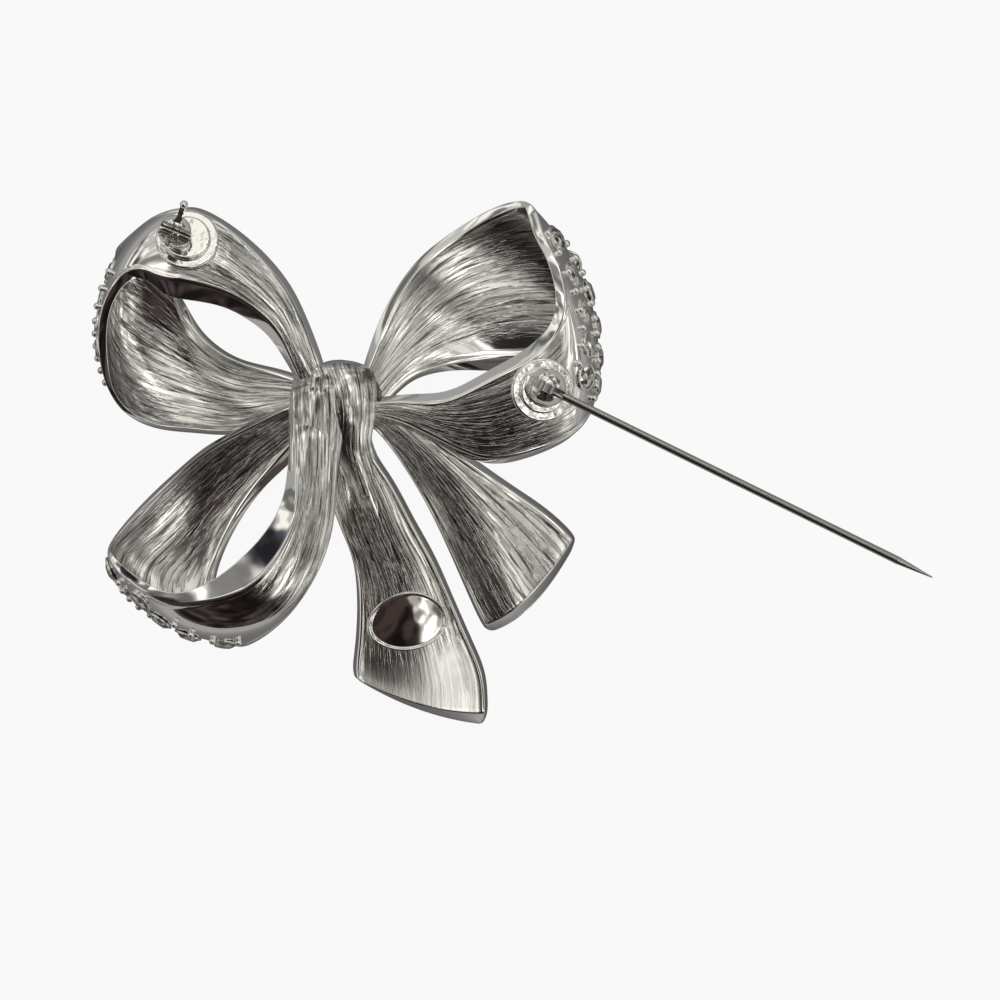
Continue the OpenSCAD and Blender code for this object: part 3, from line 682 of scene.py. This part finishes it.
def plaque_piece(material):
    """The oval plaque: a smooth plate with a raised round rim, on the centre tail's back."""
    rim, rim_height = np.transpose(PLAQUE_RIM)
    reach = np.concatenate([rim, DOME_SPOTS])
    height = np.concatenate([rim_height, DOME_TOP - DOME_FALL * DOME_SPOTS**2])
    turn = np.linspace(0, 2 * math.pi, PLAQUE_STEPS, endpoint=False)[:, None]
    x = PLAQUE_L / 2 * np.cos(turn) * reach
    y = PLAQUE_W / 2 * np.sin(turn) * reach
    u = PLAQUE_U - PLAQUE_DU * (x * math.sin(PLAQUE_TURN) + y * math.cos(PLAQUE_TURN))
    v = PLAQUE_V + PLAQUE_DV * (x * math.cos(PLAQUE_TURN) - y * math.sin(PLAQUE_TURN))
    point, normal = RIBBONS["tail_centre"].at(u.ravel(), v.reshape(-1, 1))
    points = point[:, 0] + normal[:, 0] * np.tile(height, PLAQUE_STEPS)[:, None]
    n, m = x.shape
    faces = [(a, d, c, b) for a, b, c, d in grid_faces(n, m, round_n=True)]
    faces.append(tuple(k * m + m - 1 for k in reversed(range(n))))
    polished_piece("plaque", points, faces, material)


def knot_piece(material):
    """The gathered knot: a lumpy dome with pleats that run up it."""
    turn = np.linspace(0, 2 * math.pi, KNOT_STEPS, endpoint=False)[:, None]
    rise = np.linspace(-math.pi / 2, math.pi / 2, KNOT_RISES)
    x = np.cos(turn) * np.cos(rise)
    y = np.sin(turn) * np.cos(rise)
    z = np.broadcast_to(np.sin(rise), x.shape)
    pleats = PLEAT_H * np.sin(x * PLEAT_TURN + SWAY * np.sin(y * SWAY_TURN)) * np.cos(rise) ** 2
    points = np.stack([x * KNOT_W / 2, y * KNOT_H / 2, z * KNOT_DEEP + pleats], -1) + KNOT_AT
    faces = grid_faces(KNOT_STEPS, KNOT_RISES, round_n=True)
    piece = new_piece("knot", points.reshape(-1, 3), faces, material)
    grain = np.stack([points[..., 1], points[..., 0], np.full(x.shape, KNOT_PATTERN)], -1)
    keep_finish(piece, np.zeros(x.shape), np.zeros(x.shape), grain)


def ball(centre, radius):
    """Points and faces of a small ball."""
    fall = np.linspace(0, math.pi, BALL_RINGS + 1)[:, None]
    turn = np.linspace(0, 2 * math.pi, BALL_SPOTS, endpoint=False)
    x = np.sin(fall) * np.cos(turn)
    y = np.sin(fall) * np.sin(turn)
    z = np.broadcast_to(np.cos(fall), x.shape)
    away = np.stack([x, y, z], -1).reshape(-1, 3)
    return centre + radius * away, grid_faces(BALL_RINGS + 1, BALL_SPOTS, round_m=True)


def bezel(centre, normal):
    """Points and faces of the bright-cut ring round a stone."""
    side = np.cross(normal, BEZEL_START)
    side /= np.linalg.norm(side)
    other = np.cross(normal, side)
    turn = np.linspace(0, 2 * math.pi, BEZEL_STEPS, endpoint=False)[:, None, None]
    out = side * np.cos(turn) + other * np.sin(turn)
    round_turn = np.linspace(0, 2 * math.pi, BEZEL_SPOTS, endpoint=False)[:, None]
    reach = STONE_D / 2 + STONE_GAP + BEZEL_R * np.cos(round_turn)
    points = centre + out * reach + normal * BEZEL_R * np.sin(round_turn)
    return points.reshape(-1, 3), grid_faces(BEZEL_STEPS, BEZEL_SPOTS, round_n=True, round_m=True)


def joined(parts):
    """Points and faces of several parts as one mesh."""
    faces = []
    count = 0
    for part_points, part_faces in parts:
        faces += [tuple(i + count for i in face) for face in part_faces]
        count += len(part_points)
    return np.concatenate([part_points for part_points, part_faces in parts]), faces


def bead_piece(name, spots, material):
    """The beads of the prongs, each on a short neck that sinks in the strip."""
    balls = [
        ball(point + normal * BEAD_RISE * lift, BEAD_D / 2 * size)
        for point, normal in spots
        for lift, size in BEAD_BALLS
    ]
    polished_piece(name, *joined(balls), material)


def bezel_piece(name, spots, material):
    """The bright-cut rings round a loop's stones."""
    polished_piece(name, *joined([bezel(point, normal) for point, normal in spots]), material)


def fill(tree, made, sockets):
    """Fills a node's sockets, by name or number: another node's output is linked, a value is set."""
    for key, value in sockets.items():
        if isinstance(value, bpy.types.NodeSocket):
            tree.links.new(value, made.inputs[key])
        else:
            made.inputs[key].default_value = value


def node(tree, kind, sockets, **settings):
    """A new shader node with its settings and its sockets filled."""
    made = tree.nodes.new("ShaderNode" + kind)
    for key, value in settings.items():
        setattr(made, key, value)
    fill(tree, made, sockets)
    return made


def combined(tree, operation, *values):
    """Values and other nodes' outputs, combined by a Math node's operation."""
    return node(tree, "Math", dict(enumerate(values)), operation=operation).outputs["Value"]


def ramp(tree, value, start=(0, 1), end=(0, 1), kind="LINEAR"):
    """A value taken from the range start to the range end, and kept within it."""
    names = ["Value", "From Min", "From Max", "To Min", "To Max"]
    sockets = dict(zip(names, [value, *start, *end]))
    return node(tree, "MapRange", sockets, interpolation_type=kind).outputs["Result"]


def mixed(tree, share, first, second):
    """A colour between two others."""
    return node(tree, "Mix", {0: share, 6: first, 7: second}, data_type="RGBA").outputs[2]


def noise(tree, where, scale, detail, roughness):
    """Soft random blotches."""
    sockets = {"Vector": where, "Scale": scale, "Detail": detail, "Roughness": roughness}
    return node(tree, "TexNoise", sockets).outputs["Fac"]


def waves(tree, scale, detail, roughness, depth, strength, under=None):
    """A surface's normal with a slight unevenness, over the relief under it if it has one."""
    where = node(tree, "TexCoord", {}).outputs["Object"]
    height = noise(tree, where, scale, detail, roughness)
    sockets = {"Height": height, "Distance": depth * MM, "Strength": strength}
    if under is not None:
        sockets["Normal"] = under
    return node(tree, "Bump", sockets).outputs["Normal"]


def kept(tree, name, output="Fac"):
    """What keep() has put on the mesh under this name."""
    return node(tree, "Attribute", {}, attribute_name=name).outputs[output]


def cut(tree, grain, scale, detail):
    """Lines with flat tops and steep sides, as a graver leaves them: 0 in a groove and 1 beside it."""
    stretched = node(tree, "Mapping", {"Vector": grain, "Scale": scale}, vector_type="POINT")
    pattern = noise(tree, stretched.outputs["Vector"], 1.0, detail, LINE_ROUGHNESS)
    return ramp(tree, pattern, LINE_EDGE, kind="SMOOTHSTEP")


def new_material(name):
    """A material, its node tree and its shader."""
    material = bpy.data.materials.new(name)
    material.use_nodes = True
    tree = material.node_tree
    return material, tree, tree.nodes["Principled BSDF"]


def engraved_metal():
    """Bright plating: engraved with fine broken lines that have painted shade in their grooves, and
    polished where the polish value is 1.
    """
    material, tree, shader = new_material("cast_metal")
    grain = kept(tree, "grain", "Vector")
    polish = kept(tree, "polish")
    broad = cut(tree, grain, *BROAD_LINES)
    fine = cut(tree, grain, *FINE_LINES)
    lines = {
        "Height": combined(tree, "MULTIPLY_ADD", fine, FINE_DEPTH, broad),
        "Distance": LINE_DEPTH * MM,
        "Strength": ramp(tree, polish, end=(1, 0)),
    }
    relief = node(tree, "Bump", lines).outputs["Normal"]
    # Painted shade: where both kinds of line are low, the plating's colour turns to the dark groove colour
    broad_out_of_shade = combined(tree, "MULTIPLY", broad, BROAD_SHADE_SHARE)
    tone = combined(tree, "MULTIPLY_ADD", fine, FINE_SHADE_SHARE, broad_out_of_shade)
    bright = combined(tree, "MAXIMUM", tone, polish)
    rough = ramp(tree, polish, end=(ENGRAVED_ROUGHNESS, POLISHED_ROUGHNESS))
    fill(tree, shader, {
        "Base Color": mixed(tree, bright, (*GROOVE_PAINTED_SHADE, 1), (*PLATING, 1)),
        "Metallic": 1,
        "Roughness": combined(tree, "MULTIPLY_ADD", kept(tree, "satin"), SATIN_ROUGHNESS, rough),
        "Normal": waves(tree, *CAST_WAVES, under=relief),
    })
    return material


def plain_metal(name, color, roughness, unevenness):
    """One metal all over, a little uneven."""
    material, tree, shader = new_material(name)
    fill(tree, shader, {
        "Base Color": (*color, 1),
        "Metallic": 1,
        "Roughness": roughness,
        "Normal": waves(tree, *unevenness),
    })
    return material


def stone_glass():
    """Foiled cut glass: bright facets of painted glint, with a warm grey depth of painted shade, in random
    patches.
    """
    material, tree, shader = new_material("stone")
    where = node(tree, "TexCoord", {}).outputs["Object"]
    cells = node(tree, "TexVoronoi", {"Vector": where, "Scale": GLASS_PATCHES}).outputs["Color"]
    # Painted glints and shade: random patches of the glass's colour run from dark to bright
    share = ramp(tree, cells, GLASS_RANGE)
    fill(tree, shader, {
        "Base Color": mixed(tree, share, (*GLASS_PAINTED_SHADE, 1), (*GLASS_PAINTED_GLINT, 1)),
        "Metallic": GLASS_FOIL,
        "Roughness": GLASS_ROUGHNESS,
        "Coat Weight": 1.0,
    })
    return material


def paint(names, material):
    """Puts a material on CAD nodes."""
    for name in names:
        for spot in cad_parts[name].material_slots:
            spot.material = material


def clutter(tree, where):
    """How light or dark each part of the room is: blotches with rather crisp edges."""
    total = 1.0
    for scale, low, high, dark, light in CLUTTER:
        pattern = noise(tree, where, scale, CLUTTER_DETAIL, CLUTTER_ROUGHNESS)
        blotches = ramp(tree, pattern, (low, high), (dark, light), "SMOOTHSTEP")
        total = combined(tree, "MULTIPLY", total, blotches)
    return total


def room():
    """The room that the metal mirrors: patches of light and dark over a mid grey, with clutter."""
    world = bpy.data.worlds.new("room")
    bpy.context.scene.world = world
    world.use_nodes = True
    tree = world.node_tree
    where = node(tree, "TexCoord", {}).outputs["Generated"]
    color = (*ROOM_GREY, 1)
    for x, y, reach, soft, *tone in ROOM:
        toward = Vector((x, y, math.sqrt(max(0, 1 - x * x - y * y)))).normalized()
        near = node(tree, "VectorMath", {0: where, 1: toward}, operation="DOT_PRODUCT").outputs["Value"]
        edge = (math.cos(math.radians(reach + soft)), math.cos(math.radians(reach)))
        color = mixed(tree, ramp(tree, near, edge, kind="SMOOTHSTEP"), color, (*tone, 1))
    fill(tree, tree.nodes["Background"], {"Color": color, "Strength": clutter(tree, where)})


def paper():
    """Pale paper that partly glows, so that the metal's shadows on it stay faint, and that glows darker in
    the metal's mirror, with painted shade near the metal.
    """
    material, tree, shader = new_material("paper")
    fill(tree, shader, {"Base Color": (*PAPER, 1), "Roughness": PAPER_ROUGHNESS})
    path = node(tree, "LightPath", {}).outputs
    # Painted shade: seen in the metal, the paper's glow is dimmer the nearer it lies to the metal
    mirrored_painted_shade = ramp(tree, path["Ray Length"], (0, SHADE_REACH * MM), (PAPER_IN_SHADE, PAPER_SEEN_IN_METAL))
    strength = ramp(tree, path["Is Camera Ray"], end=(mirrored_painted_shade, 1.0))
    glow = node(tree, "Emission", {"Color": (1, 1, 1, 1), "Strength": strength})
    both = {0: PAPER_GLOW_SHARE, 1: shader.outputs["BSDF"], 2: glow.outputs["Emission"]}
    mix = node(tree, "MixShader", both)
    fill(tree, tree.nodes["Material Output"], {"Surface": mix.outputs["Shader"]})
    return material


def floor():
    """The paper that the brooch lies on."""
    s = PAPER_W / 2 * MM
    mesh = bpy.data.meshes.new("floor")
    mesh.from_pydata([(-s, -s, 0), (s, -s, 0), (s, s, 0), (-s, s, 0)], [], [(0, 1, 2, 3)])
    mesh.materials.append(paper())
    made = bpy.data.objects.new("floor", mesh)
    bpy.context.scene.collection.objects.link(made)


def camera():
    """Straight above the bow, as in the photograph."""
    data = bpy.data.cameras.new("camera")
    data.angle = 2 * math.atan(CAMERA_VIEW / 2 / (CAMERA_H - CAMERA_LEVEL))
    data.clip_start = CAMERA_NEAR * MM
    made = bpy.data.objects.new("camera", data)
    made.location = (np.array([CAMERA_X, CAMERA_Y, CAMERA_H]) - ORIGIN) * MM
    bpy.context.scene.collection.objects.link(made)
    bpy.context.scene.camera = made


plated = engraved_metal()
first_loop = ribbon_piece("loop_upper_right", RIBBON_T, plated)
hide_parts("bow")
ribbon_piece("loop_upper_left", RIBBON_T, plated, coarse=COARSE)
ribbon_piece("loop_lower_left", RIBBON_T, plated, coarse=COARSE)
ribbon_piece("tail_centre", TAIL_T, plated, end_slope=CENTRE_END_SLOPE)
ribbon_piece("tail_right", TAIL_T, plated, end_slope=RIGHT_END_SLOPE)
plaque_piece(plated)
knot_piece(plated)
ribbon_piece("knot_wrap", TAIL_T, plated)
ribbon_piece("knot_fold", FOLD_T, plated, coarse=COARSE)
for loop, rows in BEADS.items():
    ribbon = RIBBONS["loop_" + loop]
    bead_piece("beads_" + loop, places(ribbon, rows), plated)
    bezel_piece("bezels_" + loop, places(ribbon, STONES[loop]), plated)

findings = ["hinge_housing", "hinge_rivet", "catch_housing", "catch_rotor"]
stones = [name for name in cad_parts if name.startswith("stone_")]
paint(findings, plain_metal("findings", PLATING, FINDING_ROUGHNESS, FINDING_WAVES))
paint(["pin_stem"], plain_metal("stem_metal", WIRE, WIRE_ROUGHNESS, WIRE_WAVES))
paint(stones, stone_glass())

room()
floor()
camera()
bpy.context.scene.view_settings.view_transform = "Standard"
